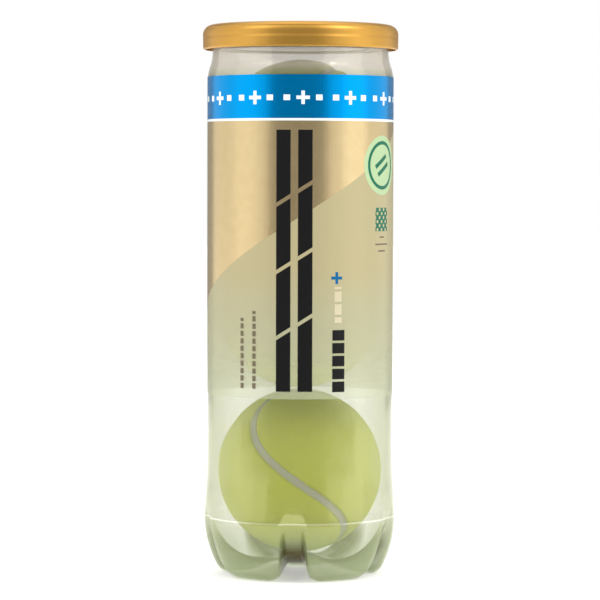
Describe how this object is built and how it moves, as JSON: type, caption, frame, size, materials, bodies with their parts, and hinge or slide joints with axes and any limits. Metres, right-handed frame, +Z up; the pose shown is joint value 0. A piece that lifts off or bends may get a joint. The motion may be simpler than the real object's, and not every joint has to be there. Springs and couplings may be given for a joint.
{
  "type": "tennis ball can",
  "caption": "Clear bottle with a five-footed base, printed sleeve, metal pull-off end, push-on overcap and felt-covered balls inside.",
  "frame": {"origin": "on the can's axis, in the plane of the foot pads", "axes": "+Z up along the can's axis, -Y towards the front of the label, +X to the right seen from the front"},
  "size_m": [0.0776, 0.0776, 0.2181],
  "materials": {
    "pet": "clear glossy blown plastic",
    "sleeve_film": "printed metallic film, blue band, clear towards its lower edge",
    "end_metal": "satin rolled metal",
    "seam_compound": "matt",
    "overcap_plastic": "satin metallic gold",
    "core_rubber": "matt",
    "felt": "brushed felt nap",
    "seam_rubber": "matt"
  },
  "bodies": {
    "can": {"can_body": "pet", "label": "sleeve_film", "end_ring": "end_metal", "seam_gasket": "seam_compound"},
    "ball_1": {"ball_1_core_lower": "core_rubber", "ball_1_core_upper": "core_rubber", "ball_1_felt_a": "felt", "ball_1_felt_b": "felt", "ball_1_seam": "seam_rubber"},
    "ball_2": {"ball_2_core_lower": "core_rubber", "ball_2_core_upper": "core_rubber", "ball_2_felt_a": "felt", "ball_2_felt_b": "felt", "ball_2_seam": "seam_rubber"},
    "ball_3": {"ball_3_core_lower": "core_rubber", "ball_3_core_upper": "core_rubber", "ball_3_felt_a": "felt", "ball_3_felt_b": "felt", "ball_3_seam": "seam_rubber"},
    "end_panel": {"tear_panel": "end_metal"},
    "tab": {"pull_tab": "end_metal"},
    "cap": {"overcap": "overcap_plastic"}
  },
  "joints": [
    {"name": "ball_1_lift", "type": "slide", "parent": "can", "child": "ball_1", "axis": [0, 0, 1], "range_m": [0, 0.21]},
    {"name": "ball_2_lift", "type": "slide", "parent": "ball_1", "child": "ball_2", "axis": [0, 0, 1], "range_m": [0, 0.145]},
    {"name": "ball_3_lift", "type": "slide", "parent": "ball_2", "child": "ball_3", "axis": [0, 0, 1], "range_m": [0, 0.08]},
    {"name": "panel_pull", "type": "slide", "parent": "ball_3", "child": "end_panel", "axis": [0, 0, 1], "range_m": [0, 0.04]},
    {"name": "cap_lift", "type": "slide", "parent": "end_panel", "child": "cap", "axis": [0, 0, 1], "range_m": [0, 0.06]},
    {"name": "tab_lift", "type": "hinge", "parent": "end_panel", "child": "tab", "pos_m": [0, -0.0314, 0.2097], "axis": [1, 0, 0], "range_deg": [0, 82]}
  ],
  "couplings": [
    {"joint": "tab_lift", "follows": "cap_lift", "rad_per_m": 23.2}
  ]
}
